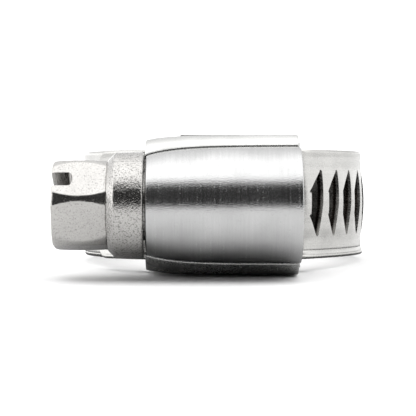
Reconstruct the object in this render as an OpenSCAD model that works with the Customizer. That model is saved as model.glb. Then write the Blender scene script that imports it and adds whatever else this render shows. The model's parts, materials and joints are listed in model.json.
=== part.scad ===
// Worm-drive hose clamp, lying with its hose axis along Z.
// The origin is on the hose axis at half the band's height. The screw runs along X, its head
// towards -X, and the housing is on the -Y side. All sizes are in millimetres and degrees.
// Places round the loop are given by a turn angle: 0 under the screw, growing towards +X.

/* [Hose and band] */
// Radius of the hose that the loop closes on
hose_r = 11.6; // [11.5:0.05:11.7]
// Height of the band along the hose
band_w = 9; // [8.8:0.1:9]
// Thickness of the band
band_t = 0.6; // [0.5:0.05:0.6]
// Turn angle of the band's free end, beyond the head side of the housing
tail_end = -52; // [-54:1:-50]
// Turn angle where the tail starts to bend down to the hose
mouth = 27.2; // [27:0.1:28]
// Radius of the tight bend that follows, at the middle of the strip
mouth_r = 3; // [3:0.5:5]
// Turn angle from the mouth to where the band lies on the hose
turn_in = 40.2; // [40:0.1:44]

/* [Drive slots] */
// Pitch of the screw thread and of the slots in the band
pitch = 2.5; // [2.5:0.1:2.6]
// Turn angle of the slot nearest the middle of the screw
first_slot = 2.9; // [2.7:0.1:3.1]
// Half length of the slots across the band
slot_half = 2.75; // [2.6:0.05:2.8]
// Height of the embossed ribs between the slots
rib_h = 0.3; // [0.2:0.05:0.3]

/* [Screw] */
// Hexagon head across its flats
hex_af = 6.7; // [6.4:0.05:7]
// Turn of the hexagon from the place where one of its corners faces -Y
head_turn = 9; // [0:1:60]
// Length of the hexagon
hex_l = 4.3; // [4:0.05:4.6]
// Largest radius of the round collar
collar_r = 4.28; // [4.1:0.02:4.4]
// Length of the collar
collar_l = 2.75; // [2.6:0.05:3.1]
// Thread crest radius
crest_r = 3.7; // [3.6:0.05:3.7]
// Thread root radius, also the neck's and the pilot's
root_r = 2.75; // [2.6:0.05:2.8]
// Depth that the thread reaches below the band's outer face
thread_dip = 0.4; // [0.3:0.05:0.4]
// Width of the screwdriver slot in the head
driver_w = 1.3; // [1:0.05:1.4]
// Depth of the screwdriver slot
driver_depth = 1.65; // [1.5:0.05:2]

/* [Housing and saddle] */
// Head end of the housing and the saddle along X
end_head = -6.35; // [-6.4:0.05:-6.1]
// Far end of the housing and the saddle along X
end_far = 5.95; // [5.9:0.05:6]
// Radius of the arch over the screw, at its far end
arch_r = 4.6; // [4.55:0.01:4.65]
// Sheet thickness of the housing
arch_t = 0.6; // [0.5:0.05:0.6]
// Half width of the saddle over its side walls
wall_w = 5.6; // [5.5:0.05:5.7]
// Sheet thickness of the saddle's walls and hems
wall_t = 0.6; // [0.55:0.05:0.6]
// Sheet thickness of the saddle's curved plate
plate_t = 0.5; // [0.4:0.05:0.5]

/* [Hidden] */
$fn = 96;

// Radial layers under the screw, from the hose outwards
layer_gap = 0.02;
running_gap = 0.12;
plate_top = hose_r + plate_t;
fixed_r = plate_top + layer_gap + band_t / 2;
tail_r = fixed_r + band_t + running_gap;
loop_r = hose_r + band_t / 2;
pitch_r = tail_r + band_t / 2;
screw_y = -(pitch_r - thread_dip + crest_r);

// Turn angles where one length of the band hands over to the next
fixed_from = -36;
fixed_to = 12;
left_end = 320;
left_turn = 260;
back_turn = 192;
right_turn = 124;
hinge_play = 0.06;
hinge_inset = 0.03;
edge_cut = 0.14;

// Two arcs lead from an outer radius to an inner one; these are their radii
function bend_step(outer, inner, half) = (outer - inner) * cos(half) / (1 - cos(half));
function wide_r(outer, inner, half) = (outer + inner + bend_step(outer, inner, half)) / 2;
function tight_r(outer, inner, half) = (outer + inner - bend_step(outer, inner, half)) / 2;
function out_at(turn) = [sin(turn), -cos(turn)];
function degrees(length, radius) = length / radius * 180 / PI;

// The band's path, as arcs [last turn angle, centre, radius]. On the slotted side a tight arc
// with a chosen radius leads into a wide arc, which meets the circle round the hose smoothly.
tight_arc = mouth_r;
channel_offset = tail_r - tight_arc;
loop_offset = loop_r - tight_arc;
wide_offset = (channel_offset * channel_offset - loop_offset * loop_offset)
    / (2 * (loop_offset - channel_offset * cos(turn_in)));
wide_arc = loop_r + wide_offset;
tight_turn = asin(wide_offset * sin(turn_in) / (wide_offset + loop_offset));
tight_end = mouth + tight_turn;
wide_end = mouth + turn_in;
channel_path = [mouth, [0, 0], tail_r];
tight_path = [tight_end, (tail_r - tight_arc) * out_at(mouth), tight_arc];
wide_path = [wide_end, (loop_r - wide_arc) * out_at(wide_end), wide_arc];
loop_path = [left_turn, [0, 0], loop_r];

// The plain side of the band, from the loop up to the fixed end
left_bend = (left_end - left_turn) / 2;
left_mid = left_turn + left_bend;
left_wide = wide_r(fixed_r, loop_r, left_bend);
left_tight = tight_r(fixed_r, loop_r, left_bend);
left_wide_path = [left_mid, (loop_r - left_wide) * out_at(left_turn), left_wide];
left_tight_path = [left_end, (fixed_r - left_tight) * out_at(left_end), left_tight];

// Places along the slotted side, by length from the middle of the screw
mouth_u = tail_r * mouth * PI / 180;
tight_u = mouth_u + tight_arc * tight_turn * PI / 180;
wide_u = tight_u + wide_arc * (turn_in - tight_turn) * PI / 180;
function turn_at(u) = u <= mouth_u ? degrees(u, tail_r)
    : u <= tight_u ? mouth + degrees(u - mouth_u, tight_arc)
    : u <= wide_u ? tight_end + degrees(u - tight_u, wide_arc)
    : wide_end + degrees(u - wide_u, loop_r);
function path_at(turn) = turn <= mouth ? channel_path
    : turn <= tight_end ? tight_path
    : turn <= wide_end ? wide_path
    : turn <= left_turn ? loop_path
    : turn <= left_mid ? left_wide_path : left_tight_path;
function point_on(path, turn) = path[1] + path[2] * out_at(turn);
slot_step = pitch * tail_r / pitch_r;
slot_u0 = tail_r * first_slot * PI / 180;
first_cut = -4;
hinge_slot = 4;
last_cut = 10;
tail_turn = turn_at(slot_u0 + hinge_slot * slot_step);

// ---- band ----
rib_r = (slot_half * slot_half + rib_h * rib_h) / (2 * rib_h);
rib_steps = 12;
rib_sunk = 0.1;
rib_gap = 0.9;
rib_l = slot_step - rib_gap;
turn_step = 2;

// Stretch of the band between two turn angles, following the arcs of its path
module band_stretch(from, to) {
    steps = ceil((to - from) / turn_step);
    turns = [for (i = [0:steps]) from + (to - from) * i / steps];
    outer = [for (t = turns) point_on(path_at(t), t) + band_t / 2 * out_at(t)];
    inner = [for (i = [steps:-1:0]) point_on(path_at(turns[i]), turns[i])
                                    - band_t / 2 * out_at(turns[i])];
    linear_extrude(height = band_w, center = true)
        polygon(concat(outer, inner));
}

// One concentric arc of the band, with its outer edges eased
module band_ring(radius, from, to) {
    half = band_w / 2;
    outer = radius + band_t / 2;
    inner = radius - band_t / 2;
    rotate([0, 0, from - 90])
        rotate_extrude(angle = to - from)
            polygon([[inner, -half], [outer - edge_cut, -half], [outer, -half + edge_cut],
                     [outer, half - edge_cut], [outer - edge_cut, half], [inner, half]]);
}

// Round edge on which the next length of the band turns, and the hollow that it turns in
module hinge_round(turn) hinge_post(turn, -hinge_inset);
module hinge_hollow(turn) hinge_post(turn, hinge_play);
module hinge_post(turn, play) {
    p = point_on(path_at(turn), turn);
    translate([p[0], p[1], 0])
        cylinder(r = band_t / 2 + play, h = band_w + 2 * play, center = true);
}

// Puts a shape on the slotted side: X along the band, -Y outwards
module on_band(u) {
    turn = turn_at(u);
    p = point_on(path_at(turn), turn);
    translate([p[0], p[1], 0])
        rotate([0, 0, turn])
            children();
}

// Slanted drive slot, cut square to the band. Its outline runs along the band, then across it.
slot_outline = [[0.7, slot_half], [-0.93, 1.08], [-1, -0.87], [0.15, 0.15 - slot_half],
                [0.61, 0]];
module slot_cut(u) {
    on_band(u)
        rotate([90, 0, 0])
            linear_extrude(height = 4 * band_t, center = true)
                polygon(slot_outline);
}

// Embossed rib between two slots, arched across the band
module rib(u) {
    edge = slot_half + rib_sunk;
    zs = [for (i = [-rib_steps:rib_steps]) i / rib_steps * edge];
    arc = [for (z = zs) [rib_r - rib_h - sqrt(rib_r * rib_r - z * z) - band_t / 2, z]];
    sunk = rib_sunk - band_t / 2;
    on_band(u)
        rotate([90, 0, 90])
            linear_extrude(height = rib_l, center = true)
                polygon(concat([[sunk, -edge]], arc, [[sunk, edge]]));
}

// Slots from first to last, with a rib in each gap between them
module slotted(first, last) {
    difference() {
        union() {
            children();
            for (i = [first:last - 1]) rib(slot_u0 + (i + 0.5) * slot_step);
        }
        for (i = [first:last]) slot_cut(slot_u0 + i * slot_step);
    }
}

module band_tail() {
    color("silver")
        slotted(first_cut, hinge_slot) {
            band_stretch(tail_end, tail_turn);
            hinge_round(tail_turn);
        }
}

module band_right() {
    color("silver")
        difference() {
            slotted(hinge_slot, last_cut) {
                band_stretch(tail_turn, right_turn);
                hinge_round(right_turn);
            }
            hinge_hollow(tail_turn);
        }
}

// Plain length of the loop between two hinges
module band_back(from, to) {
    color("silver")
        difference() {
            union() {
                band_ring(loop_r, from, to);
                hinge_round(to);
            }
            hinge_hollow(from);
        }
}

module band_back_right() band_back(right_turn, back_turn);

module band_back_left() band_back(back_turn, left_turn);

module band_left() {
    color("silver")
        difference() {
            band_stretch(left_turn, left_end);
            hinge_hollow(left_turn);
        }
}

// Fixed end of the band, with the two lugs that hook into the saddle's walls
lug_from = -17;
lug_to = 6;
lug_proud = 0.1;
lug_root = 0.4;
lug_inset = 0.03;
lug_l = wall_w + lug_proud - band_w / 2 + lug_root;
module band_fixed_end() {
    color("silver") {
        band_ring(fixed_r, fixed_from, fixed_to);
        for (side = [-1, 1])
            rotate([0, 0, lug_from - 90])
                rotate_extrude(angle = lug_to - lug_from)
                    translate([fixed_r, side * (band_w / 2 + lug_l / 2 - lug_root)])
                        square([band_t - 2 * lug_inset, lug_l], center = true);
    }
}

// ---- housing and saddle ----
taper_l = 2.2;
arch_drop = 0.74;
wall_taper_l = 1.7;
wall_drop = 0.38;
outline_steps = 14;
outline_power = 1.5;
hem_rise = 0.4;
hem_front = screw_y + hem_rise;
hem_back = hem_front + wall_t;
flange_front = hem_back + layer_gap;
flange_back = flange_front + arch_t;
seam_gap = 0.03;
lip_t = 0.55;
lip_play = 0.15;
lip_r = root_r + lip_play;

// Outline half widths at a place along X: both pressings narrow towards the head
function arch_at(x) = arch_r - arch_drop * exp(-(x - end_head) / taper_l);
function wall_at(x) = wall_w - wall_drop * exp(-(x - end_head) / wall_taper_l);
function along(i) = end_head + (end_far - end_head) * pow(i / outline_steps,
                                                            outline_power);
function arch_line(inset) = [for (i = [0:outline_steps]) [along(i), arch_at(along(i)) - inset]];
function wall_line(inset) = [for (i = [0:outline_steps]) [along(i), wall_at(along(i)) - inset]];
function reversed(list) = [for (i = [len(list) - 1:-1:0]) list[i]];

// Draws an outline given as (x, z) points, as a slab between two places along Y
module slab(y_from, y_to) {
    translate([0, y_to, 0])
        rotate([90, 0, 0])
            linear_extrude(height = y_to - y_from)
                children();
}

// Both sides of an outline
module both_sides() {
    children();
    mirror([0, 1]) children();
}

// Turns a shape drawn along Z so that it lies along the screw
module on_screw(x) {
    translate([x, screw_y, 0])
        rotate([90, 0, 90])
            children();
}

// Half turn of sheet over the screw
module arch() {
    on_screw(0)
        rotate([0, 0, 90])
            rotate_extrude(angle = 180)
                polygon(concat([for (p = arch_line(0)) [p[1], p[0]]],
                               reversed([for (p = arch_line(arch_t)) [p[1], p[0]]])));
}

// End wall that keeps the screw in, open towards the band
module lip(x_from, outer) {
    on_screw(x_from)
        linear_extrude(height = lip_t)
            difference() {
                union() {
                    circle(r = outer);
                    translate([0, -outer]) square([flange_back - screw_y, 2 * outer]);
                }
                circle(r = lip_r);
                translate([0, -lip_r]) square([2 * outer, 2 * lip_r]);
            }
}

module housing() {
    color("gainsboro") {
        arch();
        slab(screw_y, flange_back)
            both_sides()
                polygon(concat(arch_line(0), reversed(arch_line(arch_t))));
        slab(flange_front, flange_back)
            both_sides()
                polygon(concat(wall_line(wall_t + seam_gap), reversed(arch_line(arch_t))));
        lip(end_head, arch_at(end_head) - seam_gap);
        lip(end_far - lip_t, arch_at(end_far) - arch_t / 2);
    }
}

// Curved plate, side walls and hems, folded from one sheet
window_play = 0.05;
window_turn = 0.3;
module saddle() {
    color("gainsboro")
        difference() {
            union() {
                intersection() {
                    slab(-2 * hose_r, 0)
                        both_sides()
                            polygon(concat(wall_line(0), [[end_far, 0], [end_head, 0]]));
                    difference() {
                        cylinder(r = plate_top, h = 3 * band_w, center = true);
                        cylinder(r = hose_r, h = 4 * band_w, center = true);
                    }
                }
                difference() {
                    slab(hem_front, 0)
                        both_sides()
                            polygon(concat(wall_line(0), reversed(wall_line(wall_t))));
                    cylinder(r = hose_r, h = 4 * band_w, center = true);
                }
                slab(hem_front, hem_back)
                    both_sides()
                        polygon(concat(wall_line(0), reversed(arch_line(-seam_gap))));
            }
            rotate([0, 0, lug_from - 90 - window_turn])
                rotate_extrude(angle = lug_to - lug_from + 2 * window_turn)
                    translate([fixed_r, 0])
                        difference() {
                            square([band_t + 2 * window_play, 3 * band_w], center = true);
                            square([2 * band_t, band_w], center = true);
                        }
        }
}

// ---- worm screw ----
collar_gap = 0.1;
collar_x = end_head - collar_gap - collar_l;
hex_x = collar_x - hex_l;
thread_from = -3;
thread_to = 4.9;
pilot_short = 0.15;
pilot_to = end_far - pilot_short;
crest_half = 0.25;
root_half = 0.5;
thread_sunk = 0.3;
thread_lift = 0.1;
ring_steps = 36;
runout = 0.5;
hex_corner_r = 3.72;
hex_chamfer = 0.45;
flat_turn = 30;
hex_sunk = 0.2;
crown_drop = 0.08;
crown_from = 1.3;
crown_to = 2.8;
collar_chamfer = 0.6;
collar_draft = 0.08;
collar_edge = 0.2;

// Right-hand thread, growing out of the root over half a turn at both ends.
// Its crest is centred in the slot nearest the middle of the screw.
module thread() {
    turns = (thread_to - thread_from) / pitch;
    steps = floor(turns * ring_steps);
    slot_x = pitch_r * sin(first_slot);
    sunk = root_r - thread_sunk;
    low = sunk + thread_lift;
    function crest(i) = let (end = min(i, steps - i) / ring_steps)
        low + (crest_r - low) * min(1, end / runout);
    function x_of(i) = thread_from + i / ring_steps * pitch;
    function angle(i) = 360 * (x_of(i) - slot_x) / pitch;
    function on(i, r, dx) = [x_of(i) + dx, screw_y + r * cos(angle(i)), r * sin(angle(i))];
    points = [for (i = [0:steps]) each
        [on(i, sunk, -root_half), on(i, crest(i), -crest_half),
         on(i, crest(i), crest_half), on(i, sunk, root_half)]];
    n = 4;
    sides = [for (i = [0:steps - 1], k = [0:n - 1])
        [n * i + (k + 1) % n, n * (i + 1) + (k + 1) % n, n * (i + 1) + k, n * i + k]];
    caps = [[for (k = [n - 1:-1:0]) k], [for (k = [0:n - 1]) n * steps + k]];
    polyhedron(points = points, faces = concat(sides, caps), convexity = 6);
}

// Hexagon with crowned, rounded corners and a chamfered end
module hex_head() {
    depth = hex_l + hex_sunk;
    on_screw(hex_x)
        intersection() {
            rotate([0, 0, -head_turn])
                cylinder(d = hex_af / cos(flat_turn), h = depth, $fn = 6);
            rotate_extrude()
                polygon([[0, 0], [hex_af / 2 - hex_chamfer, 0],
                         [hex_corner_r - hex_chamfer / 2, hex_chamfer],
                         [hex_corner_r - crown_drop, crown_from], [hex_corner_r, crown_to],
                         [hex_corner_r - crown_drop, depth], [0, depth]]);
        }
}

// The slot runs from flat to flat
module driver_slot() {
    bottom = driver_w / 2;
    on_screw(hex_x)
        rotate([0, 0, -head_turn - flat_turn])
            rotate([90, 0, 90])
                linear_extrude(height = 2 * hex_af, center = true) {
                    translate([-driver_w / 2, -driver_depth])
                        square([driver_w, 2 * driver_depth - bottom]);
                    translate([0, driver_depth - bottom]) circle(r = bottom, $fn = 32);
                }
}

module worm_screw() {
    face_r = collar_r - collar_draft;
    color("lightgray")
        difference() {
            union() {
                hex_head();
                on_screw(collar_x)
                    rotate_extrude()
                        polygon([[0, 0], [face_r - collar_chamfer, 0], [face_r, collar_chamfer],
                                 [collar_r, collar_l - collar_edge],
                                 [collar_r - collar_edge, collar_l], [0, collar_l]]);
                on_screw(collar_x)
                    cylinder(r = root_r, h = pilot_to - collar_x);
                thread();
            }
            driver_slot();
        }
}

housing();
saddle();
worm_screw();
band_fixed_end();
band_tail();
band_right();
band_back_right();
band_back_left();
band_left();
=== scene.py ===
import json
import math

import bmesh
import bpy
from mathutils import Matrix, Vector, noise


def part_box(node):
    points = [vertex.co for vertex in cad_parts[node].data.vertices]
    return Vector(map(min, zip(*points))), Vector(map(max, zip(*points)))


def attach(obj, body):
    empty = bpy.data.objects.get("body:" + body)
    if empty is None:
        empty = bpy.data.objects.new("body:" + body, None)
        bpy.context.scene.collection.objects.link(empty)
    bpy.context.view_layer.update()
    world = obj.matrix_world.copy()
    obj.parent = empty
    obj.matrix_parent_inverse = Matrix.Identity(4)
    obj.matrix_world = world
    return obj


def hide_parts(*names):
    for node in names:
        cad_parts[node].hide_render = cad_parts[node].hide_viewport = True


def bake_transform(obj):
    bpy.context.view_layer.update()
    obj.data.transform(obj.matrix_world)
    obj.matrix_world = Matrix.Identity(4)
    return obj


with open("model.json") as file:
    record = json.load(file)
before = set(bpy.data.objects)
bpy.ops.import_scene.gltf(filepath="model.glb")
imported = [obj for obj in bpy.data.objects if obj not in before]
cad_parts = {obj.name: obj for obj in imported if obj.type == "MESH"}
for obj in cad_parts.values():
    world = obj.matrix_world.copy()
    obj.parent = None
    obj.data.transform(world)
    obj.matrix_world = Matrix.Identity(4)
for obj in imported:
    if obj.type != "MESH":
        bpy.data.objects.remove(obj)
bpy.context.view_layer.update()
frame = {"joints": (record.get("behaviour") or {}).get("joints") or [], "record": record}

MM = 0.001


def box_mm(node):
    lo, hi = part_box(node)
    return lo / MM, hi / MM


# ---- sizes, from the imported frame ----
record = frame["record"]
joint_at = {j["name"]: j["pos_m"] for j in frame["joints"]}
HOSE_R = next(m["dims"]["r_mm"] for m in record["mounts"] if m["name"] == "hose_bore")
SCREW_Y = joint_at["screw_turn"][1] / MM
HEAD_X = box_mm("worm_screw")[0].x
END_HEAD, END_FAR = box_mm("saddle")[0].x, box_mm("saddle")[1].x
WALL_W = box_mm("saddle")[1].z
ARCH_R = SCREW_Y - box_mm("housing")[0].y
LUG_W = box_mm("band_fixed_end")[1].z
BAND_HALF = box_mm("band_tail")[1].z
PILOT_X = box_mm("worm_screw")[1].x

BAND_T = 0.6
SHEET_T = 0.6
PLATE_T = 0.5
RUNNING_GAP = 0.12
LAYER_GAP = 0.02
PLATE_TOP = HOSE_R + PLATE_T
FIXED_R = PLATE_TOP + LAYER_GAP + BAND_T / 2
TAIL_R = FIXED_R + BAND_T + RUNNING_GAP
LOOP_R = HOSE_R + BAND_T / 2
PITCH_R = TAIL_R + BAND_T / 2
PITCH = 2.5

# Turn angles along the band
TAIL_END = -52
FIXED_FROM, FIXED_TO = -40, 12
MOUTH, TURN_IN = 27.2, 40.2
TIGHT = 3.0
LEFT_TURN, LEFT_MID, LEFT_END = 260, 290, 320
FIRST_SLOT, FIRST_CUT, LAST_CUT = 2.9, -4, 10
SLOT_STEP = PITCH * TAIL_R / PITCH_R
SLOT_HALF = 2.75
RIB_H = 0.3


# ---- small helpers ----
CREASE = math.radians(40)


def smooth(a, b, x):
    t = min(1.0, max(0.0, (x - a) / (b - a)))
    return t * t * (3 - 2 * t)


def mix(a, b, t):
    return a + (b - a) * t


def spread(a, b, n):
    return [mix(a, b, i / n) for i in range(n + 1)]


def out_at(turn):
    t = math.radians(turn)
    return Vector((math.sin(t), -math.cos(t), 0))


def eased(d, radius, half):
    """Half thickness of a sheet at distance d from its rim, with the rim's edges rounded."""
    if d >= radius:
        return half
    return half - radius + math.sqrt(radius * radius - (radius - d) ** 2)


def rim_steps(radius):
    return [radius * (1 - math.cos(math.radians(a))) for a in (0, 30, 60, 90)]


def finish_mesh(name, bm, body=None, weld=2e-4):
    """Turns a bmesh in millimetres into an object in metres, shaded smooth except at creases."""
    bmesh.ops.remove_doubles(bm, verts=bm.verts, dist=weld)
    bmesh.ops.dissolve_degenerate(bm, edges=bm.edges, dist=weld / 2)
    bmesh.ops.recalc_face_normals(bm, faces=bm.faces)
    for face in bm.faces:
        face.smooth = True
    for edge in bm.edges:
        edge.smooth = edge.calc_face_angle(0) < CREASE
    bmesh.ops.scale(bm, vec=(MM, MM, MM), verts=bm.verts)
    mesh = bpy.data.meshes.new(name)
    bm.to_mesh(mesh)
    bm.free()
    piece = bpy.data.objects.new(name, mesh)
    bpy.context.scene.collection.objects.link(piece)
    if body:
        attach(piece, body)
    return piece


def grid_faces(bm, rows, closed=False):
    """Quads between neighbouring rows of vertices; closed rows join their last vertex to the first."""
    for a, b in zip(rows, rows[1:]):
        n = len(a)
        for i in range(n if closed else n - 1):
            j = (i + 1) % n
            bm.faces.new((a[i], a[j], b[j], b[i]))


# ---- the band's path ----
def arc_radii(outer, inner, half):
    """Radii of the wide and the tight arc that lead from an outer radius to an inner one."""
    c = math.cos(math.radians(half))
    step = (outer - inner) * c / (1 - c)
    return (outer + inner + step) / 2, (outer + inner - step) / 2


def wide_arc():
    """The wide arc's radius, and the turn that the tight arc before it takes, so that the two
    lead smoothly from the channel under the screw to the circle round the hose."""
    turn, before, after = math.radians(TURN_IN), TAIL_R - TIGHT, LOOP_R - TIGHT
    offset = (before ** 2 - after ** 2) / (2 * (after - before * math.cos(turn)))
    return LOOP_R + offset, math.degrees(math.asin(offset * math.sin(turn) / (offset + after)))


WIDE, TIGHT_TURN = wide_arc()
LEFT_WIDE, LEFT_TIGHT = arc_radii(FIXED_R, LOOP_R, LEFT_END - LEFT_MID)
TIGHT_END, WIDE_END = MOUTH + TIGHT_TURN, MOUTH + TURN_IN
ORIGIN = Vector((0, 0, 0))
PATH = [
    (MOUTH, ORIGIN, TAIL_R),
    (TIGHT_END, (TAIL_R - TIGHT) * out_at(MOUTH), TIGHT),
    (WIDE_END, (LOOP_R - WIDE) * out_at(WIDE_END), WIDE),
    (LEFT_TURN, ORIGIN, LOOP_R),
    (LEFT_MID, (LOOP_R - LEFT_WIDE) * out_at(LEFT_TURN), LEFT_WIDE),
    (LEFT_END, (FIXED_R - LEFT_TIGHT) * out_at(LEFT_END), LEFT_TIGHT),
]


def arc_at(turn):
    return next((p for p in PATH if turn <= p[0] + 1e-9), PATH[-1])


def on_path(turn):
    _, centre, radius = arc_at(turn)
    return centre + radius * out_at(turn)


def length_to(turn):
    """Length along the band from the middle of the screw to a turn angle."""
    total, start = 0, 0
    for last, _, radius in PATH:
        if turn <= last:
            return total + radius * math.radians(turn - start)
        total += radius * math.radians(last - start)
        start = last
    return total


def turn_at(u):
    start = 0
    for last, _, radius in PATH:
        step = radius * math.radians(last - start)
        if u <= step or last == LEFT_END:
            return start + math.degrees(u / radius)
        u -= step
        start = last


SLOT_U0 = TAIL_R * math.radians(FIRST_SLOT)


def cell_edge(k):
    """Turn angle of the line between slot k - 1 and slot k."""
    return turn_at(SLOT_U0 + (k - 0.5) * SLOT_STEP)


# ---- the band ----
# Places on the strip are (u, v): u runs along it and v across it, both in millimetres
CELL_HALF = 3.3
CELL_ROWS = 36
CELL_COLUMNS = 8
UV_UNIT = 10
EDGE_R = 0.24
RIB_RISE, RIB_DIP = 0.4, 0.18
FLARE, FLARE_FADE = 0.16, (100, 140)
FLARE_FROM, UPPER_FROM, UPPER_SHARE = 3.7, 3.9, 0.3
ROLLED_LINES, LINE_HALF, LINE_DEPTH = (-3.8, -4.16), 0.05, 0.025

# A slot's outline as (v, u), with a rounded lip, and a ledge in the middle of its left side
SLOT_LOW = -SLOT_HALF + 0.15
SLOT_LEFT = [(SLOT_LOW, 0.1), (-0.9, -0.99), (1.08, -0.93), (SLOT_HALF, 0.64)]
SLOT_RIGHT = [(SLOT_LOW, 0.22), (0, 0.61), (SLOT_HALF, 0.76)]
TIP_R = 0.06
LIP_R, LIP_STEP, LIP_DROP = 0.07, 0.01, 0.012
LEDGE, LEDGE_DEPTH = 0.4, 0.14
LEDGE_END, LEDGE_FADE = 0.95, 0.15
LEDGE_FOOT, HOLE_TOP = 0.22, 0.27

# Painted shade: how dark the inner face, the ledge's foot and the slots' cut walls are painted, from 0
# to 1
INNER_SHADE, LEDGE_FOOT_SHADE, SLOT_WALL_SHADE = 0.6, 0.6, 1


def along_line(line, v):
    for (v0, u0), (v1, u1) in zip(line, line[1:]):
        if v <= v1:
            return mix(u0, u1, (v - v0) / (v1 - v0))
    return line[-1][1]


def softened(line, v, reach=0.07):
    low, high = line[0][0], line[-1][0]
    taps = [along_line(line, min(high, max(low, v + reach * k / 2))) for k in range(-2, 3)]
    return sum(taps) / len(taps)


def rib_height(u, v):
    """How far the embossed rib stands out at a place on the strip."""
    k = (u - SLOT_U0) / SLOT_STEP
    first, last = FIRST_CUT - 0.5, LAST_CUT + 0.5
    within = smooth(first, first + RIB_RISE, k) * (1 - smooth(last - RIB_RISE, last, k))
    across = max(0.0, 1 - (v / (SLOT_HALF + 0.1)) ** 2)
    crown = 1 - RIB_DIP * (1 + math.cos(2 * math.pi * k))
    return RIB_H * within * across * crown


def flare(turn, v):
    """The lower edge is rolled outwards a little, except at the back of the loop, and the rolls
    leave two lines along it."""
    rolled = FLARE * (1 - smooth(*FLARE_FADE, turn))
    lines = sum(max(0.0, 1 - abs(v - at) / LINE_HALF) for at in ROLLED_LINES)
    across = smooth(FLARE_FROM, BAND_HALF, -v) + UPPER_SHARE * smooth(UPPER_FROM, BAND_HALF, v)
    return rolled * across - LINE_DEPTH * lines


class Strip:
    """Builds lengths of the band from places (turn, v, height over the middle of the sheet)."""

    def __init__(self, path=on_path, ribs=True):
        self.bm = bmesh.new()
        self.uv = self.bm.loops.layers.uv.new("strip")
        # Per vertex: how much painted shade the strip gets, dark on the inner face and in the slots
        self.painted_shade_tone = self.bm.verts.layers.float.new("painted_shade")
        self.path, self.ribs = path, ribs
        self.place = {}

    def vert(self, turn, v, h, cut=0.0):
        u = length_to(turn)
        lift = (rib_height(u, v) if self.ribs else 0) + flare(turn, v)
        p = self.path(turn) + (h + lift) * out_at(turn)
        vert = self.bm.verts.new((p.x, p.y, v))
        # cut is the amount of painted shade at this place
        vert[self.painted_shade_tone] = cut
        self.place[vert] = (u, v)
        return vert

    def done(self, name, body=None):
        for face in self.bm.faces:
            for loop in face.loops:
                u, v = self.place[loop.vert]
                loop[self.uv].uv = (u / UV_UNIT, v / UV_UNIT)
        return finish_mesh(name, self.bm, body)


def edge_profile(side, half_w, half_t):
    """Places (v, h) round one long edge, from the outer face at the cells' rim to the inner one."""
    shares = (0, 0.2, 0.35, 0.47, 0.52, 0.57, 0.7, 0.84, 0.9, 0.95, 1)
    flat = [CELL_HALF + (half_w - EDGE_R - CELL_HALF) * t for t in shares]
    top = [(v, half_t) for v in flat]
    arc = [(half_w - EDGE_R + EDGE_R * math.sin(a), half_t - EDGE_R + EDGE_R * math.cos(a))
           for a in (math.radians(d) for d in (22.5, 45, 67.5, 90))]
    outer = top + arc
    return [(side * v, h) for v, h in outer] + [(side * v, -h) for v, h in reversed(outer)]


def strip_section(half_w=None, half_t=BAND_T / 2):
    """Closed cross-section of the band as (v, h), the outer face first from low to high."""
    half_w = half_w or BAND_HALF
    scale = half_w / BAND_HALF
    middle = spread(-CELL_HALF, CELL_HALF, CELL_ROWS)
    upper = edge_profile(1, BAND_HALF, half_t)
    lower = edge_profile(-1, BAND_HALF, half_t)
    section = [(v, half_t) for v in middle] + upper[1:-1]
    section += [(v, -half_t) for v in reversed(middle)] + lower[-2:0:-1]
    return [(v * scale, h) for v, h in section]


def plain_length(strip, turns, widths=None, halves=None, caps=(True, True)):
    """A length of plain strip through these turn angles, capped at the ends asked for."""
    rows = []
    for i, t in enumerate(turns):
        section = strip_section(widths[i] if widths else None,
                                halves[i] if halves else BAND_T / 2)
        # The inner face gets painted shade
        rows.append([strip.vert(t, v, h, INNER_SHADE if h < 0 else 0) for v, h in section])
    grid_faces(strip.bm, rows, closed=True)
    for row, wanted in zip((rows[0], rows[-1]), caps):
        if wanted:
            cap_section(strip.bm, row)


def cap_section(bm, row):
    """Closes a cross-section with quads between its outer and inner faces."""
    n, edge = len(row), len(edge_profile(1, BAND_HALF, BAND_T / 2)) // 2 - 1
    for i in range(n // 2 - 1):
        a, c = i - edge, n - edge - 2 - i
        bm.faces.new((row[a], row[a + 1], row[c], row[c + 1]))


def slot_ring(grow, ledge=0.0):
    """The slot's outline as (du, v), grown outwards, matched point by point to the cell's rim.
    A ledge moves the middle of its left side inwards."""
    rows = spread(SLOT_LOW + TIP_R, SLOT_HALF - TIP_R, CELL_ROWS)

    def inwards(v):
        above = smooth(-LEDGE_END, LEDGE_FADE - LEDGE_END, v)
        return ledge * above * (1 - smooth(LEDGE_END, LEDGE_END + LEDGE_FADE, v))

    left = [(softened(SLOT_LEFT, v) - grow + inwards(v), v) for v in rows]
    right = [(softened(SLOT_RIGHT, v) + grow, v) for v in rows]

    def tip(u0, u1, v, reach):
        turns = [math.pi * i / CELL_COLUMNS for i in range(1, CELL_COLUMNS)]
        return [(mix(u0, u1, (1 - math.cos(a)) / 2), v + reach * math.sin(a)) for a in turns]

    reach = grow + TIP_R
    return (right + tip(right[-1][0], left[-1][0], rows[-1], reach)
            + left[::-1] + tip(left[0][0], right[0][0], rows[0], -reach))


def rim_ring():
    """The cell's rim as (du, v), in the same order as slot_ring."""
    half = SLOT_STEP / 2
    rows = spread(-CELL_HALF, CELL_HALF, CELL_ROWS)
    columns = spread(half, -half, CELL_COLUMNS)
    return ([(half, v) for v in rows] + [(u, CELL_HALF) for u in columns[1:-1]]
            + [(-half, v) for v in reversed(rows)] + [(u, -CELL_HALF) for u in columns[-2:0:-1]])


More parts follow.
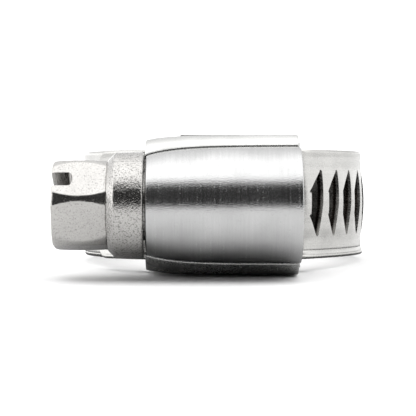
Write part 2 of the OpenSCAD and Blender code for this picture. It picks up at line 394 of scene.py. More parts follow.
def slot_cell(strip, k):
    """The strip around one slot, with a rounded lip and the ledge."""
    u0 = SLOT_U0 + k * SLOT_STEP
    rim, hole = rim_ring(), slot_ring(0, LEDGE)
    lip, wide = slot_ring(LIP_R, LEDGE), slot_ring(LIP_R + LIP_STEP)
    half = BAND_T / 2

    # cut is the amount of painted shade on a ring
    def ring(outline, h, cut=0.0):
        return [strip.vert(turn_at(u0 + du), v, h, cut) for du, v in outline]

    def between(a, b, t):
        return [(mix(p[0], q[0], t), mix(p[1], q[1], t)) for p, q in zip(a, b)]

    def ledge_ring(share):
        depths = [LIP_DROP + LEDGE_DEPTH * abs(a[0] - b[0]) / LEDGE for a, b in zip(lip, wide)]
        return [strip.vert(turn_at(u0 + du), v, half - depth)
                for (du, v), depth in zip(between(wide, lip, share), depths)]

    rings = [ring(between(rim, wide, t), half) for t in (0, 0.3, 0.6, 0.85, 1)]
    rings += [ledge_ring(share) for share in (0.12, 0.98)]
    # The ledge's foot and the slot's cut walls get painted shade, and so does the inner face
    rings.append(ring(between(hole, lip, 0.3), half - LEDGE_FOOT, LEDGE_FOOT_SHADE))
    rings.append(ring(hole, half - HOLE_TOP, SLOT_WALL_SHADE))
    rings.append(ring(hole, -half + LIP_R, SLOT_WALL_SHADE))
    rings.append(ring(lip, -half, INNER_SHADE))
    rings += [ring(between(lip, rim, t), -half, INNER_SHADE) for t in (0.35, 0.7, 1)]
    grid_faces(strip.bm, rings, closed=True)
    for side in (1, -1):
        profile = edge_profile(side, BAND_HALF, half)
        columns = spread(-SLOT_STEP / 2, SLOT_STEP / 2, CELL_COLUMNS)
        # The inner half of each edge gets painted shade
        grid_faces(strip.bm, [[strip.vert(turn_at(u0 + du), v, h, INNER_SHADE if h < 0 else 0)
                               for v, h in profile] for du in columns])


def band_turns(start, end, step=2.0):
    return spread(start, end, max(1, round((end - start) / step)))


# The cell where the tail's strip ends, and the turn angles where the two strips after it end
SPLIT = 7
RIGHT_END, BACK_END = 158, 226
CORNER_R, END_ROUND_R, END_HALF_T = 1.1, 0.12, 0.262
HIDDEN_THIN, HIDDEN_FADE = 0.06, (282, 294)


def free_end(strip):
    """The tail's free end as far as its first slot, with rounded corners."""
    end_u = length_to(TAIL_END)
    length = length_to(cell_edge(FIRST_CUT)) - end_u
    near = (0, 0.02, 0.06, 0.12, 0.2, 0.32, 0.46, 0.62, 0.8, 1.0, 1.2)
    places = [d for d in near if d < length - 0.2] + [length]
    widths = [eased(d, CORNER_R, BAND_HALF) for d in places]
    halves = [max(END_HALF_T, eased(d, END_ROUND_R, BAND_T / 2)) for d in places]
    plain_length(strip, [turn_at(end_u + d) for d in places], widths, halves, caps=(True, False))


def make_band():
    """The band's strips, each reaching between two turn angles."""
    tail = Strip()
    free_end(tail)
    for k in range(FIRST_CUT, SPLIT):
        slot_cell(tail, k)
    close_at(tail, cell_edge(SPLIT))
    tail = tail.done("band_tail_strip")
    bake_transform(tail)
    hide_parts("band_tail")

    right = Strip()
    close_at(right, cell_edge(SPLIT))
    for k in range(SPLIT, LAST_CUT + 1):
        slot_cell(right, k)
    plain_length(right, band_turns(cell_edge(LAST_CUT + 1), RIGHT_END), caps=(False, True))
    right = right.done("band_right_strip")
    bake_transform(right)
    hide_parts("band_right")

    back = Strip()
    plain_length(back, band_turns(RIGHT_END, BACK_END))
    back = back.done("band_back_strip")
    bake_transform(back)
    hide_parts("band_back_right")

    # Slightly thinner under the tail, so that the two stay clear at full tightening
    left = Strip()
    turns = band_turns(BACK_END, LEFT_END - 0.1)
    halves = [BAND_T / 2 - HIDDEN_THIN * smooth(*HIDDEN_FADE, turn) for turn in turns]
    plain_length(left, turns, halves=halves)
    left = left.done("band_left_strip")
    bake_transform(left)
    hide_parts("band_back_left", "band_left")

    fixed = Strip(path=lambda turn: FIXED_R * out_at(turn), ribs=False)
    plain_length(fixed, band_turns(FIXED_FROM, FIXED_TO))
    fixed = fixed.done("band_fixed_strip", "clamp_body")
    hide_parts("band_fixed_end")
    return [tail, right, back, left, fixed, make_lugs()]


def close_at(strip, turn):
    """Closes the end of a strip at a turn angle."""
    cap_section(strip.bm, [strip.vert(turn, v, h) for v, h in strip_section()])


LUG_FROM, LUG_TO = -17, 6
LUG_ROUND, LUG_SLIM, LUG_EDGE = 0.16, 0.02, 0.1


def make_lugs():
    """The fixed end's two lugs, which stand out through the saddle's walls."""
    bm = bmesh.new()
    inner, chamfer = BAND_HALF - 0.2, 0.3 * LUG_EDGE
    length = FIXED_R * math.radians(LUG_TO - LUG_FROM)
    cuts = rim_steps(LUG_ROUND)
    places = cuts + spread(0.3, length - 0.3, 8) + [length - c for c in reversed(cuts)]
    for side in (-1, 1):
        rows = []
        for s in places:
            turn = LUG_FROM + math.degrees(s / FIXED_R)
            ends = min(s, length - s)
            top, t = eased(ends, LUG_ROUND, LUG_W), eased(ends, LUG_EDGE, BAND_T / 2 - LUG_SLIM)
            zs = [(inner, t), (mix(inner, top, 0.5), t), (top - LUG_EDGE, t),
                  (top - chamfer, t - chamfer), (top, t - LUG_EDGE)]
            ring = zs + [(z, -h) for z, h in reversed(zs)]
            rows.append([bm.verts.new(((FIXED_R + h) * out_at(turn)).to_tuple()[:2] + (side * z,))
                         for z, h in ring])
        grid_faces(bm, rows, closed=True)
        for row in (rows[0], rows[-1]):
            bm.faces.new(row)
    return finish_mesh("band_lugs", bm, "clamp_body")


# ---- pressed sheets ----
RIM_R = 0.12
SHELL_INSET, HEM_INSET = 0.1, 0.1
ARCH_DROP, ARCH_REACH = 0.74, 2.2
WALL_DROP, WALL_REACH = 0.38, 1.7
HEM_FRONT = SCREW_Y + 0.4
HEM_TILT = 25
SEAM_GAP = 0.03
FLANGE_Y = HEM_FRONT + SHEET_T + LAYER_GAP
FLANGE_BEND, PLATE_BEND = 0.36, 0.5

# Forming lines as (x, only on the lower half, depth), and the crinkles that the press leaves
FORMING_LINES = [(-3.18, False, 0.022), (0.25, True, 0.012), (0.65, True, 0.02),
                 (3.3, True, 0.014), (4.15, True, 0.01)]
MARK_HALF = 0.07
CRINKLE, CRINKLE_ALL = 0.012, 0.003
CRINKLE_ENDS, QUIET_TOP = (1.5, 0.4), 0.75


def along_x(x0, x1, round_r, n):
    """Places along the screw, close together at both ends where the rim is rounded."""
    cuts = rim_steps(round_r)
    inner = spread(x0 + 2 * round_r, x1 - 2 * round_r, n)
    return [x0 + c for c in cuts] + inner + [x1 - c for c in reversed(cuts)]


def narrowing(x, drop, reach):
    """How much narrower a sheet is at x than at the far end. It is narrowest by the head."""
    return drop * math.exp(-(x - END_HEAD) / reach)


def arch_at(x):
    return ARCH_R - narrowing(x, ARCH_DROP, ARCH_REACH)


def wall_at(x):
    return WALL_W - narrowing(x, WALL_DROP, WALL_REACH)


def sheet_mesh(xs, line_at):
    """A folded sheet. line_at(x) gives places (y, z, ny, nz, d): a point in the middle of the
    sheet, its outward direction, and the distance to the sheet's own cut edge."""
    bm = bmesh.new()
    outer, inner = [], []
    for x in xs:
        ends = min(x - xs[0], xs[-1] - x)
        line = line_at(x)
        a, b = [], []
        for y, z, ny, nz, d in line:
            h = eased(min(ends, d), RIM_R, SHEET_T / 2)
            a.append(bm.verts.new((x, y + ny * h, z + nz * h)))
            b.append(bm.verts.new((x, y - ny * h, z - nz * h)))
        outer.append(a)
        inner.append(b)
    grid_faces(bm, outer)
    grid_faces(bm, inner)
    for k in (0, -1):
        for i in range(len(outer[0]) - 1):
            bm.faces.new((outer[k][i], outer[k][i + 1], inner[k][i + 1], inner[k][i]))
        for i in range(len(outer) - 1):
            bm.faces.new((outer[i][k], outer[i + 1][k], inner[i + 1][k], inner[i][k]))
    return bm


def polyline(places):
    """Drops repeated places (y, z, ny, nz) and adds each one's distance to the nearer end."""
    line = [places[0]]
    for p in places:
        if math.hypot(p[0] - line[-1][0], p[1] - line[-1][1]) > 1e-6:
            line.append(p)
    run = [0.0]
    for p, q in zip(line, line[1:]):
        run.append(run[-1] + math.hypot(q[0] - p[0], q[1] - p[1]))
    return [(*p, min(r, run[-1] - r)) for p, r in zip(line, run)]


def arc(cy, cz, radius, angles):
    """Places on an arc in the Y-Z plane. Angle 0 points towards -Y and 90 towards +Z."""
    places = []
    for a in angles:
        ny, nz = -math.cos(math.radians(a)), math.sin(math.radians(a))
        places.append((cy + radius * ny, cz + radius * nz, ny, nz))
    return places


def straight(p, q, ny, nz, n):
    return [(mix(p[0], q[0], i / n), mix(p[1], q[1], i / n), ny, nz) for i in range(n + 1)]


def mirrored(line):
    return [(y, -z, ny, -nz) for y, z, ny, nz in reversed(line)]


def housing_line(x):
    """The housing's sheet at x: flange, leg, arch, leg, flange."""
    mid, flat_y = arch_at(x) - SHEET_T / 2, FLANGE_Y + SHEET_T / 2
    bend_y, tip = flat_y - FLANGE_BEND, wall_at(x) - SHEET_T - SEAM_GAP
    half = arc(SCREW_Y, 0, mid, spread(0, 90, 22))
    leg = straight((SCREW_Y, mid), (bend_y, mid), 0, 1, 3)
    bend = [(bend_y + FLANGE_BEND * math.sin(a), mid + FLANGE_BEND * (1 - math.cos(a)),
             -math.sin(a), math.cos(a)) for a in (math.radians(d) for d in spread(0, 90, 5))]
    flat = [(flat_y, tip - c, -1, 0) for c in reversed(rim_steps(RIM_R))]
    side = half + leg[1:] + bend[1:] + flat
    line = [(y - ny * forming_marks(x, z), z - nz * forming_marks(x, z), ny, nz)
            for y, z, ny, nz in mirrored(side)[:-1] + side]
    return polyline(line)


def forming_marks(x, z):
    """Depth of the lines and crinkles that the press leaves in the housing."""
    depth = 0.0
    for at, only_below, deep in FORMING_LINES:
        below = 1 - smooth(-0.8, 0.4, z) if only_below else 1
        depth += deep * below * max(0.0, 1 - abs(x - at) / MARK_HALF)
    wide, fine = Vector((x * 5, z * 1.3, 4)), Vector((x * 9, z * 3.1, 9))
    wave = noise.noise(wide) + 0.5 * noise.noise(fine)
    near_end = smooth(END_FAR - CRINKLE_ENDS[0], END_FAR - CRINKLE_ENDS[1], x)
    lower = 1 - QUIET_TOP * smooth(0.3, 1.6, z)
    return depth + (CRINKLE * near_end * lower + CRINKLE_ALL) * wave


def make_housing():
    xs = along_x(END_HEAD + SHELL_INSET, END_FAR, RIM_R, 88)
    xs += [at + k * MARK_HALF for at, _, _ in FORMING_LINES for k in (-1, -0.5, 0, 0.5, 1)]
    xs.sort()
    bm = sheet_mesh(xs, housing_line)
    housing = finish_mesh("housing_shell", bm, "clamp_body")
    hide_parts("housing")
    walls = bmesh.new()
    for x0, x1 in ((END_HEAD + SHELL_INSET + 0.05, END_HEAD + SHELL_INSET + 0.45),
                   (END_FAR - 0.6, END_FAR - 0.1)):
        end_wall(walls, x0, x1, arch_at(x0) - SHEET_T * 0.7)
    return [housing, finish_mesh("housing_end_walls", walls, "clamp_body")]


def end_wall(bm, x0, x1, outer_r):
    """End wall that keeps the screw in: a ring over the screw, open towards the band."""
    hole_r, round_r, ease = 2.98, 0.1, 0.03
    rows = []
    for a in (math.radians(d) for d in spread(-90, 90, 32)):
        ny, nz = -math.cos(a), math.sin(a)
        profile = [(outer_r, x0), (hole_r + round_r, x0), (hole_r + ease, x0 + ease),
                   (hole_r, x0 + round_r), (hole_r, x1 - round_r), (hole_r + ease, x1 - ease),
                   (hole_r + round_r, x1), (outer_r, x1)]
        rows.append([bm.verts.new((x, SCREW_Y + ny * r, nz * r)) for r, x in profile])
    legs = []
    depth = FLANGE_Y - SCREW_Y
    for row in (rows[0], rows[-1]):
        leg = [bm.verts.new((v.co.x, v.co.y + depth, v.co.z)) for v in row]
        legs.append(leg)
        bm.faces.new(leg)
    grid_faces(bm, [legs[0]] + rows + [legs[1]], closed=True)


def saddle_line(x):
    """The saddle's sheet at x: hem, fold, side wall, bend, curved plate, and the same again."""
    wall, tilt = wall_at(x) - SHEET_T / 2, math.radians(HEM_TILT)
    fold_r = (wall_at(x) - arch_at(x) - SEAM_GAP) / (1 - math.sin(tilt))
    fold_y, mid_r = HEM_FRONT + fold_r * math.cos(tilt), fold_r - SHEET_T / 2
    lead = [HEM_TILT + math.degrees(c / mid_r) for c in rim_steps(RIM_R)]
    fold = arc(fold_y, wall_at(x) - fold_r, mid_r, lead + spread(lead[-1], 90, 12)[1:])
    plate_r = HOSE_R + PLATE_T / 2
    plate_y = -math.sqrt(plate_r ** 2 - x * x)
    bend_y, bend_z = plate_y - PLATE_BEND, wall - PLATE_BEND
    side = straight((fold_y, wall), (bend_y, wall), 0, 1, 10)
    bend = [(bend_y + PLATE_BEND * math.sin(a), bend_z + PLATE_BEND * math.cos(a), math.sin(a),
             math.cos(a)) for a in (math.radians(d) for d in spread(0, 90, 6))]
    thin = PLATE_T / SHEET_T * plate_r / -plate_y
    plate = straight((plate_y, bend_z), (plate_y, 0), thin, 0, 8)
    line = fold + side[1:] + bend[1:] + plate[2:]
    return polyline(line + mirrored(line)[1:])


def make_saddle():
    xs = along_x(END_HEAD, END_FAR - HEM_INSET, RIM_R, 44)
    bm = sheet_mesh(xs, saddle_line)
    saddle = finish_mesh("saddle_shell", bm, "clamp_body")
    cut_windows(saddle)
    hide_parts("saddle")
    return saddle


def cut_windows(saddle):
    """Cuts the two windows that the lugs stand in."""
    play, turn_play, degrees_apart = 0.06, 0.4, 3
    inner, outer = BAND_HALF + 0.2, LUG_W + 1
    bm = bmesh.new()
    for side in (-1, 1):
        rows = []
        for turn in band_turns(LUG_FROM - turn_play, LUG_TO + turn_play, degrees_apart):
            corners = [(FIXED_R + s * (BAND_T / 2 + play), z)
                       for s, z in ((1, inner), (1, outer), (-1, outer), (-1, inner))]
            rows.append([bm.verts.new((r * out_at(turn)).to_tuple()[:2] + (side * z,))
                         for r, z in corners])
        grid_faces(bm, rows, closed=True)
        bm.faces.new(rows[0])
        bm.faces.new(rows[-1])
    subtract(saddle, finish_mesh("window_cutter", bm))


def subtract(piece, cutter):
    """Cuts one mesh out of another for good, and removes the cutter."""
    cut = piece.modifiers.new("cut", "BOOLEAN")
    cut.operation, cut.solver, cut.object = "DIFFERENCE", "EXACT", cutter
    bpy.context.view_layer.update()
    cut_mesh = bpy.data.meshes.new_from_object(
        piece.evaluated_get(bpy.context.evaluated_depsgraph_get()))
    piece.modifiers.clear()
    piece.data = cut_mesh
    bpy.data.objects.remove(cutter)
    bm = bmesh.new()
    bm.from_mesh(cut_mesh)
    bmesh.ops.remove_doubles(bm, verts=bm.verts, dist=1e-7)
    for edge in bm.edges:
        edge.smooth = edge.calc_face_angle(0) < CREASE
    bm.to_mesh(cut_mesh)
    bm.free()


# ---- the screw ----
HEX_HALF = 3.35
HEAD_TURN = 9
COLLAR_R = box_mm("worm_screw")[1].z
COLLAR_X0, COLLAR_X1 = END_HEAD - 2.85, END_HEAD - 0.03
ROOT_R, CREST_R = 2.75, 3.7
CROWN_R, CROWN_X, CROWN_CURVE = 3.735, HEAD_X + 2.15, 0.042
END_ROUND, END_LEAD = 0.17, 0.42
NECK_REACH, NECK_DROP = 0.12, 0.05
COLLAR_TAPER, COLLAR_CHAMFER, COLLAR_ROUND, PILOT_ROUND = 0.07, 0.6, 0.22, 0.25
THREAD_FROM, THREAD_TO, RUN_OUT = -3.3, 5.2, 1.2
RIDGE_TOP, RIDGE_FOOT = 0.22, 0.55
DENT_HEAD, DENT_COLLAR, HEAD_DISH = 0.012, 0.016, 0.12


def hex_radius(theta):
    """Distance from the axis to the hexagon's flat, at an angle from the -Y direction."""
    return HEX_HALF / math.cos(math.radians((theta - HEAD_TURN) % 60 - 30))


def soft_min(a, b, k):
    """The smaller of two values, with the change from one to the other rounded over k."""
    h = max(0.0, k - abs(a - b)) / k
    return min(a, b) - h * h * k / 4


def thread_height(x, theta):
    """Radius of the right-hand thread, which meets the band's slots."""
    start = PITCH_R * math.sin(math.radians(FIRST_SLOT))
    phase = ((x - start) / PITCH - (180 - theta) / 360 + 0.5) % 1 - 0.5
    near = abs(phase) * PITCH
    ridge = 1 - smooth(RIDGE_TOP, RIDGE_FOOT, near)
    run_in = smooth(THREAD_FROM, THREAD_FROM + RUN_OUT, x)
    run = run_in * (1 - smooth(THREAD_TO - RUN_OUT, THREAD_TO, x))
    return ROOT_R + (CREST_R - ROOT_R) * ridge * run


def screw_radius(x, theta):
    """Radius of the screw: hexagon head, then collar, then neck, thread and pilot."""
    if x < COLLAR_X0:
        crown = CROWN_R - CROWN_CURVE * (x - CROWN_X) ** 2
        lead = 1 - min(1, (x - HEAD_X) / END_LEAD)
        drop = END_ROUND * (1 - math.sqrt(max(0, 1 - lead * lead)))
        neck = smooth(COLLAR_X0 - NECK_REACH, COLLAR_X0, x)
        return soft_min(hex_radius(theta), crown, 0.03) - drop - NECK_DROP * neck
    if x <= COLLAR_X1:
        chamfer = COLLAR_R - COLLAR_TAPER - max(0, COLLAR_CHAMFER - (x - COLLAR_X0))
        barrel = COLLAR_R - COLLAR_TAPER * (1 - smooth(COLLAR_X0, COLLAR_X1 - 0.3, x))
        return eased(COLLAR_X1 - x, COLLAR_ROUND, soft_min(chamfer, barrel, 0.1))
    return min(thread_height(x, theta), eased(PILOT_X - x, PILOT_ROUND, CREST_R))


def screw_stations():
    """Places along the screw, closer together where its shape turns quickly."""
    xs = [HEAD_X + c for c in (0, 0.01, 0.04, 0.09, 0.15, 0.22, 0.32, 0.42)]
    xs += spread(HEAD_X + 0.52, COLLAR_X0 - 0.1, 30) + [COLLAR_X0 - 0.03, COLLAR_X0 - 1e-4]
    xs += spread(COLLAR_X0 + 1e-4, COLLAR_X1 - 0.24, 22)
    xs += [COLLAR_X1 - c for c in (0.2, 0.15, 0.09, 0.04, 0.01, 0)]
    xs += [COLLAR_X1 + 1e-4] + spread(COLLAR_X1 + 0.15, THREAD_FROM - 0.4, 8)
    xs += spread(THREAD_FROM - 0.3, PILOT_X - 0.32, 110)
    return xs + [PILOT_X - c for c in (0.26, 0.18, 0.1, 0.04, 0.01, 0)]


def screw_angles():
    """Angles round the screw, closer together at the hexagon's corners."""
    steps = [0, 2, 4, 5, 6, 7, 8.5, 10.5, 14, 18.5, 24, 30]
    one = steps + [60 - s for s in reversed(steps[1:-1])]
    return [HEAD_TURN + 60 * k + s for k in range(6) for s in one]


def dents(x, theta, r):
    """Small lumps of a forged surface, in millimetres."""
    if x > COLLAR_X1 + 0.05:
        return 0.0
    a = math.radians(theta)
    p = Vector((x, r * math.sin(a), r * math.cos(a)))
    rough = smooth(COLLAR_X0 - 1.2, COLLAR_X0 + 0.3, x)
    fine = noise.noise(p * 2.6) * 0.5 + noise.noise(p * 6.1 + Vector((7, 3, 1))) * 0.3
    return fine * mix(DENT_HEAD, DENT_COLLAR, rough)


def make_screw():
    bm = bmesh.new()
    rows = []
    angles = screw_angles()
    for x in screw_stations():
        row = []
        for theta in angles:
            r = screw_radius(x, theta)
            r += dents(x, theta, r)
            a = math.radians(theta)
            row.append(bm.verts.new((x, SCREW_Y - r * math.cos(a), r * math.sin(a))))
        rows.append(row)
    grid_faces(bm, rows, closed=True)
    # End faces: the head's is a little dished, the pilot's is flat
    for row, dish, x in ((rows[0], HEAD_DISH, HEAD_X), (rows[-1], 0, PILOT_X)):
        last = row
        for share in (0.8, 0.5, 0.2):
            ring = [bm.verts.new((x + dish * (1 - share), SCREW_Y + (v.co.y - SCREW_Y) * share,
                                  v.co.z * share)) for v in row]
            grid_faces(bm, [last, ring], closed=True)
            last = ring
        bm.faces.new(last)
    screw = finish_mesh("worm_screw_forging", bm, "screw")
    subtract(screw, slot_cutter())
    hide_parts("worm_screw")
    return screw


def slot_cutter():
    """The screwdriver slot: parallel walls and a shallow round bottom."""
    half_w, wall_x, hollow, reach = 0.65, HEAD_X + 1.33, 0.32, 6
    tilt = math.radians(HEAD_TURN + 30)
    across = Vector((0, -math.sin(tilt), -math.cos(tilt)))
    along = Vector((0, -math.cos(tilt), math.sin(tilt)))
    profile = [(-half_w, HEAD_X - 1), (half_w, HEAD_X - 1)]
    profile += [(half_w * math.cos(a), wall_x + hollow * math.sin(a)) for a in spread(0, math.pi, 12)]
    bm = bmesh.new()
    rows = [[bm.verts.new(Vector((x, SCREW_Y, 0)) + across * w + along * s) for w, x in profile]
            for s in (-reach, reach)]
    grid_faces(bm, rows, closed=True)
    for row in rows:
        bm.faces.new(row)
    return finish_mesh("slot_cutter", bm)


# ---- materials ----
class Nodes:
    """Short way to write a node tree."""

    def __init__(self, tree):
        self.tree = tree

    def add(self, kind, **settings):
        node = self.tree.nodes.new(kind)
        for key, value in settings.items():
            if key in node.inputs:
                node.inputs[key].default_value = value
            else:
                setattr(node, key, value)
        return node

    def link(self, a, b):
        self.tree.links.new(a, b)

    def feed(self, socket, value):
        """Joins another node's output to a socket, or sets the socket to a number or colour."""
        if isinstance(value, bpy.types.NodeSocket):
            self.link(value, socket)
        elif isinstance(value, (int, float)):
            socket.default_value = value
        else:
            socket.default_value = (*value, 1)

    def mixed(self, factor, a, b, blend="MIX"):
        """Colour between a and b, which are outputs or colours."""
        node = self.add("ShaderNodeMix", data_type="RGBA", blend_type=blend)
        factor_in, a_in, b_in = node.inputs[0], node.inputs[6], node.inputs[7]
        for socket, value in ((factor_in, factor), (a_in, a), (b_in, b)):
            self.feed(socket, value)
        return node.outputs[2]

    def ramp(self, value, low, high, out_low, out_high, kind="LINEAR"):
        """Takes the span from low to high to the span from out_low to out_high."""
        node = self.add("ShaderNodeMapRange", interpolation_type=kind)
        names = ("Value", "From Min", "From Max", "To Min", "To Max")
        for name, setting in zip(names, (value, low, high, out_low, out_high)):
            self.feed(node.inputs[name], setting)
        return node.outputs["Result"]

    def maths(self, operation, a, b):
        node = self.add("ShaderNodeMath", operation=operation)
        self.feed(node.inputs[0], a)
        self.feed(node.inputs[1], b)
        return node.outputs["Value"]

    def bump(self, height, depth, normal=None):
        """Bump of this depth in millimetres, over another bump if one is given."""
        node = self.add("ShaderNodeBump")
        node.inputs["Strength"].default_value = 1.0
        node.inputs["Distance"].default_value = depth * MM
        self.link(height, node.inputs["Height"])
        if normal:
            self.link(normal, node.inputs["Normal"])
        return node.outputs["Normal"]


def new_tree(owner):
    """Empty node tree of a material or world."""
    owner.use_nodes = True
    owner.node_tree.nodes.clear()
    return Nodes(owner.node_tree)


# Painted shade: the dark colour painted on the band's inner face, ledge foot and slot walls
PAINTED_SHADE_COLOUR = (0.05, 0.042, 0.036)


def steel(name, tint, roughness, grain, grain_depth, streak=None, spots=0.0, streak_tone=0.65,
          streak_depth=0.006, uv=None, forged=None):
    """Worn steel: grain and streaks in its roughness, colour and bump, all procedural. With a UV
    map it follows the strip, and its inner face, ledge foot and cut edges get painted shade. forged
    gives (from x, to x, scale, depth) of coarse pits that grow between two places along the screw."""
    material = bpy.data.materials.new(name)
    n = new_tree(material)
    shader = n.add("ShaderNodeBsdfPrincipled")
    shader.inputs["Metallic"].default_value = 1.0
    n.link(shader.outputs["BSDF"], n.add("ShaderNodeOutputMaterial").inputs["Surface"])
    if uv:
        source, unit = n.add("ShaderNodeUVMap", uv_map=uv).outputs["UV"], UV_UNIT
    else:
        source, unit = n.add("ShaderNodeTexCoord").outputs["Object"], 1 / MM

    def field(scale, size=(1, 1, 1), detail=4.0):
        """Noise with this many lumps in a millimetre."""
        mapping = n.add("ShaderNodeMapping")
        mapping.inputs["Scale"].default_value = size
        n.link(source, mapping.inputs["Vector"])
        texture = n.add("ShaderNodeTexNoise")
        texture.inputs["Scale"].default_value = scale * unit
        texture.inputs["Detail"].default_value = detail
        n.link(mapping.outputs["Vector"], texture.inputs["Vector"])
        return texture.outputs["Fac"]

    grain_field = field(grain, detail=5.0)
    streak_field = field(1, streak, 6.0) if streak else grain_field
    blotch = field(0.35, detail=2.0)

    grain_rough = n.ramp(grain_field, 0.3, 0.7, roughness - 0.05, roughness + 0.06)
    streak_rough = n.ramp(streak_field, 0.3, 0.7, -0.05, 0.05)
    n.link(n.maths("ADD", grain_rough, streak_rough), shader.inputs["Roughness"])

    dark = tuple(c * 0.72 for c in tint)
    result = n.mixed(n.ramp(streak_field, 0.25, 0.6, 1 - streak_tone, 1.0), dark, tint)
    result = n.mixed(0.5, result, n.ramp(blotch, 0.3, 0.7, 0.75, 1.0), "MULTIPLY")
    if spots:
        result = n.mixed(1.0, result, n.ramp(grain_field, 0.3, 0.42, 1 - spots, 1.0), "MULTIPLY")
    normal = n.bump(grain_field, grain_depth)
    if streak:
        normal = n.bump(streak_field, streak_depth, normal)
    if uv:
        # Painted shade, read per vertex from the strip: darker inner face, ledge foot and slot walls
        attribute = n.add("ShaderNodeAttribute", attribute_name="painted_shade")
        result = n.mixed(attribute.outputs["Fac"], result, PAINTED_SHADE_COLOUR)
    if forged:
        from_x, to_x, scale, depth = forged
        parts = n.add("ShaderNodeSeparateXYZ")
        n.link(source, parts.inputs["Vector"])
        coarse = n.ramp(parts.outputs["X"], from_x * MM, to_x * MM, 0.12, 1.0)
        lumps = field(scale, detail=3.0)
        pits = n.mixed(coarse, (1, 1, 1), n.ramp(lumps, 0.36, 0.48, 0.5, 1.0))
        result = n.mixed(1.0, result, pits, "MULTIPLY")
        normal = n.bump(n.maths("MULTIPLY", lumps, coarse), depth, normal)
    n.link(result, shader.inputs["Base Color"])
    n.link(normal, shader.inputs["Normal"])
    return material


def paint(pieces, material):
    for piece in pieces:
        piece.data.materials.clear()
        piece.data.materials.append(material)


band_pieces = make_band()
housing_pieces = make_housing()
saddle_piece = make_saddle()
screw_piece = make_screw()

BAND_TINT = (0.52, 0.515, 0.50)
band_steel = steel("band_steel", BAND_TINT, roughness=0.26, grain=6.0, grain_depth=0.006,
                   streak=(0.05, 2.2, 1), uv="strip")
lug_steel = steel("lug_steel", BAND_TINT, roughness=0.3, grain=6.0, grain_depth=0.01)
housing_steel = steel("housing_steel", (0.52, 0.52, 0.52), roughness=0.2, grain=9.0,
                      grain_depth=0.012, spots=0.12, streak=(6, 0.15, 0.15), streak_tone=0.3,
                      streak_depth=0.003)
saddle_steel = steel("saddle_steel", (0.58, 0.58, 0.57), roughness=0.24, grain=7.0,
                     grain_depth=0.008, streak=(0.2, 1.5, 1.5))
screw_steel = steel("screw_steel", (0.51, 0.50, 0.485), roughness=0.17, grain=9.0,
                    grain_depth=0.012, spots=0.34,
                    forged=(COLLAR_X0 - 0.5, COLLAR_X0 + 0.4, 7.5, 0.026))
paint(band_pieces[:-1], band_steel)
paint(band_pieces[-1:], lug_steel)
paint(housing_pieces, housing_steel)
paint([saddle_piece], saddle_steel)
paint([screw_piece], screw_steel)


# ---- floor, light and camera ----
# The camera sees a white floor. Reflections see a darker copy of it with a painted shadow, dark near
# the clamp, within a distance from the hose axis in millimetres.
FLOOR_TONE, NEAR_SHADOW_TONE, FAR_TONE = 0.98, 0.14, 0.85
SHADOW_REACH, SHADOW_FADE_REACH, FLOOR_HALF = 15, 22.5, 900


def make_floor():
    """Pale floor that the clamp lies on, with the saddle's wall and the back of the loop touching."""
    front, back = Vector((0, -14, -LUG_W - 0.01)), Vector((0, HOSE_R + BAND_T, -BAND_HALF))
    slope = (back - front).normalized() * FLOOR_HALF
    across = Vector((FLOOR_HALF, 0, 0))
    bm = bmesh.new()
    corners = [front + slope * sy + across * sx for sx, sy in ((-1, -1), (1, -1), (1, 1), (-1, 1))]
    bm.faces.new([bm.verts.new(c) for c in corners])
    floor = finish_mesh("floor", bm)
    material = bpy.data.materials.new("floor_paper")
    n = new_tree(material)
    seen, reflected = (n.add("ShaderNodeBsdfDiffuse") for _ in range(2))
    seen.inputs["Color"].default_value = (FLOOR_TONE, FLOOR_TONE, FLOOR_TONE, 1)
    reach = n.add("ShaderNodeVectorMath", operation="LENGTH")
    n.link(n.add("ShaderNodeTexCoord").outputs["Object"], reach.inputs[0])
    # Painted shadow: the reflected floor is dark near the clamp and pale further off
    painted_shade_tone = n.ramp(reach.outputs["Value"], SHADOW_REACH * MM, SHADOW_FADE_REACH * MM, NEAR_SHADOW_TONE, FAR_TONE)
    n.link(painted_shade_tone, reflected.inputs["Color"])
    mixer = n.add("ShaderNodeMixShader")
    n.link(n.add("ShaderNodeLightPath").outputs["Is Camera Ray"], mixer.inputs["Fac"])
    n.link(reflected.outputs["BSDF"], mixer.inputs[1])
    n.link(seen.outputs["BSDF"], mixer.inputs[2])
    n.link(mixer.outputs["Shader"], n.add("ShaderNodeOutputMaterial").inputs["Surface"])
    floor.data.materials.append(material)


# Light from above, and from the left and right below LOW_LIGHT degrees of elevation. In front of
# the clamp the room is dark below DARK_FRONT degrees, and behind it BEHIND times as bright.
TOP_LIGHT, LEFT_LIGHT, RIGHT_LIGHT, DARK_LIGHT, BEHIND = 2.2, 2.2, 1.6, 0.05, 0.5
LOW_LIGHT, DARK_FRONT = (26, 42), (38, 62)
SEEN_LIGHT = 1.05


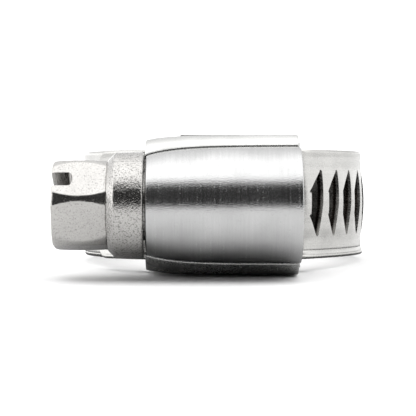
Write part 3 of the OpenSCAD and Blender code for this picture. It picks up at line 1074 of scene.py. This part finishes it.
def make_world():
    """Soft light all round, with a dark stretch of room behind the camera. Camera rays see white."""
    world = bpy.data.worlds.new("studio")
    bpy.context.scene.world = world
    n = new_tree(world)
    parts = n.add("ShaderNodeSeparateXYZ")
    n.link(n.add("ShaderNodeTexCoord").outputs["Generated"], parts.inputs["Vector"])
    x, y, z = (parts.outputs[axis] for axis in "XYZ")

    def eased_ramp(value, span, out_low, out_high):
        return n.ramp(value, *span, out_low, out_high, kind="SMOOTHSTEP")

    def below(elevations):
        """1 below a span of elevations in degrees, 0 above it."""
        return eased_ramp(z, [math.sin(math.radians(a)) for a in elevations], 1, 0)

    side = eased_ramp(x, (-0.5, 0.3), LEFT_LIGHT, RIGHT_LIGHT)
    level = n.maths("MULTIPLY", below(LOW_LIGHT), n.maths("SUBTRACT", side, TOP_LIGHT))
    level = n.maths("ADD", level, TOP_LIGHT)
    front = n.maths("MULTIPLY", below(DARK_FRONT), eased_ramp(y, (-0.5, -0.25), 1, 0))
    level = n.maths("MULTIPLY", level, n.maths("SUBTRACT", 1, front))
    behind = n.maths("MULTIPLY", eased_ramp(y, (0, 0.95), 0, 1 - BEHIND),
                     eased_ramp(z, (0.05, 0.35), 0, 1))
    level = n.maths("MULTIPLY", level, n.maths("SUBTRACT", 1, behind))
    level = n.maths("ADD", level, DARK_LIGHT)
    camera = n.add("ShaderNodeLightPath").outputs["Is Camera Ray"]
    level = n.maths("MAXIMUM", level, n.maths("MULTIPLY", camera, SEEN_LIGHT))
    background = n.add("ShaderNodeBackground")
    background.inputs["Color"].default_value = (1, 1, 1, 1)
    n.link(level, background.inputs["Strength"])
    n.link(background.outputs["Background"], n.add("ShaderNodeOutputWorld").inputs["Surface"])


def make_camera():
    """Camera at the photograph's angle: just above the middle of the screw, square to it."""
    azimuth, elevation, roll = (math.radians(a) for a in (-0.1, 0.824, -0.153))
    focal_px, distance, width_px, sensor = 1639.8, 129.37, 416, 36
    target = Vector((-1.369, SCREW_Y, -0.215))
    back = Vector((math.sin(azimuth) * math.cos(elevation),
                   -math.cos(azimuth) * math.cos(elevation), math.sin(elevation)))
    camera = bpy.data.objects.new("camera", bpy.data.cameras.new("camera"))
    bpy.context.scene.collection.objects.link(camera)
    camera.data.sensor_width = sensor
    camera.data.lens = sensor * focal_px / width_px
    camera.data.clip_start, camera.data.clip_end = 0.005, 5
    right = Vector((math.cos(azimuth), math.sin(azimuth), 0))
    up = back.cross(right)
    x_axis = right * math.cos(roll) + up * math.sin(roll)
    y_axis = up * math.cos(roll) - right * math.sin(roll)
    camera.matrix_world = Matrix.Translation((target + back * distance) * MM) @ Matrix(
        (x_axis, y_axis, back)).transposed().to_4x4()
    bpy.context.scene.camera = camera


make_floor()
make_world()
make_camera()
bpy.context.scene.view_settings.view_transform = "Standard"
